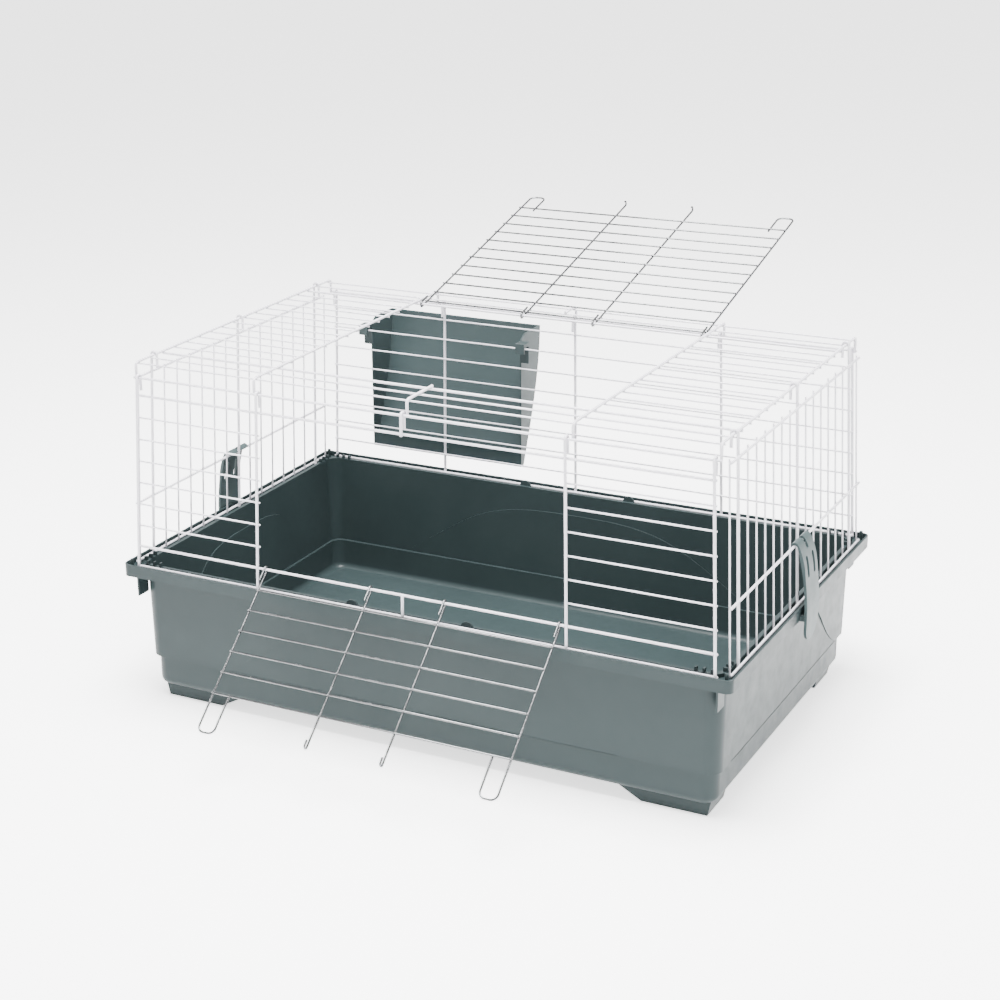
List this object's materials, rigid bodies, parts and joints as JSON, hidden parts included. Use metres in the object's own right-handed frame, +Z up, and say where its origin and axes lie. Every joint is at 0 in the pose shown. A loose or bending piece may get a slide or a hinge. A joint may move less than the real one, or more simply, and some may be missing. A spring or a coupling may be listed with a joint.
{
  "type": "wire-top small animal cage",
  "caption": "Low wire-top rabbit cage on a deep moulded tray with feet, with a fold-down front door, a lift-back roof door, side latches and an outside hay rack.",
  "frame": {"origin": "centre of the tray on the floor it stands on", "axes": "+X along the length, from left to right seen from the front; +Y from front to back; +Z up"},
  "size_m": [0.8164, 0.9139, 0.528],
  "materials": {
    "tray_plastic": "glossy injection-moulded plastic, grey green",
    "latch_plastic": "satin injection-moulded plastic, grey green",
    "rack_plastic": "glossy injection-moulded plastic, grey green",
    "cage_wire": "white powder coat on welded steel wire",
    "door_wire": "bright zinc-plated steel wire"
  },
  "bodies": {
    "cage": {"back_post_left": "cage_wire", "back_post_mid_left": "cage_wire", "back_post_mid_right": "cage_wire", "back_post_middle": "cage_wire", "back_post_right": "cage_wire", "back_seat_rod": "cage_wire", "back_wires": "cage_wire", "front_door_post_left": "cage_wire", "front_door_post_right": "cage_wire", "front_hinge_rod": "cage_wire", "front_post_left": "cage_wire", "front_post_right": "cage_wire", "front_seat_rod": "cage_wire", "front_stub_bottom": "cage_wire", "front_stub_top": "cage_wire", "front_top_rod": "cage_wire", "front_wires_left": "cage_wire", "front_wires_right": "cage_wire", "roof_edge_rod_back": "cage_wire", "roof_edge_rod_front": "cage_wire", "roof_hinge_rod": "cage_wire", "roof_rail_inner_left": "cage_wire", "roof_rail_inner_right": "cage_wire", "roof_rail_outer_left": "cage_wire", "roof_rail_outer_right": "cage_wire", "roof_stop_rod": "cage_wire", "roof_stub_back": "cage_wire", "roof_stub_front": "cage_wire", "roof_wires_back": "cage_wire", "roof_wires_front": "cage_wire", "roof_wires_left": "cage_wire", "roof_wires_right": "cage_wire", "side_clip_rod_left": "cage_wire", "side_clip_rod_right": "cage_wire", "side_posts_left": "cage_wire", "side_posts_right": "cage_wire", "side_seat_rod_left": "cage_wire", "side_seat_rod_right": "cage_wire", "side_top_rod_left": "cage_wire", "side_top_rod_right": "cage_wire", "side_wires_left": "cage_wire", "side_wires_right": "cage_wire", "tray": "tray_plastic"},
    "front_door": {"front_door_cross_wires": "door_wire", "front_door_edge_left": "door_wire", "front_door_edge_right": "door_wire", "front_door_hook_wires": "door_wire"},
    "roof_door": {"roof_door_cross_wires": "door_wire", "roof_door_edge_left": "door_wire", "roof_door_edge_right": "door_wire", "roof_door_hook_wires": "door_wire"},
    "latch_left": {"latch_left": "latch_plastic"},
    "latch_right": {"latch_right": "latch_plastic"},
    "hay_rack": {"hay_rack": "rack_plastic"}
  },
  "joints": [
    {"name": "front_door_hinge", "type": "hinge", "parent": "cage", "child": "front_door", "pos_m": [0, -0.23964, 0.21], "axis": [-1, 0, 0], "range_deg": [-14, 132]},
    {"name": "roof_door_hinge", "type": "hinge", "parent": "cage", "child": "roof_door", "pos_m": [0, 0.17161, 0.44125], "axis": [1, 0, 0], "range_deg": [0, 165.5]},
    {"name": "latch_left_pivot", "type": "hinge", "parent": "cage", "child": "latch_left", "pos_m": [-0.394, 0, 0.172], "axis": [0, -1, 0], "range_deg": [0, 34]},
    {"name": "latch_right_pivot", "type": "hinge", "parent": "cage", "child": "latch_right", "pos_m": [0.394, 0, 0.172], "axis": [0, 1, 0], "range_deg": [0, 34]},
    {"name": "hay_rack_lift", "type": "slide", "parent": "cage", "child": "hay_rack", "axis": [0, 0, 1], "range_m": [0, 0.012]}
  ]
}
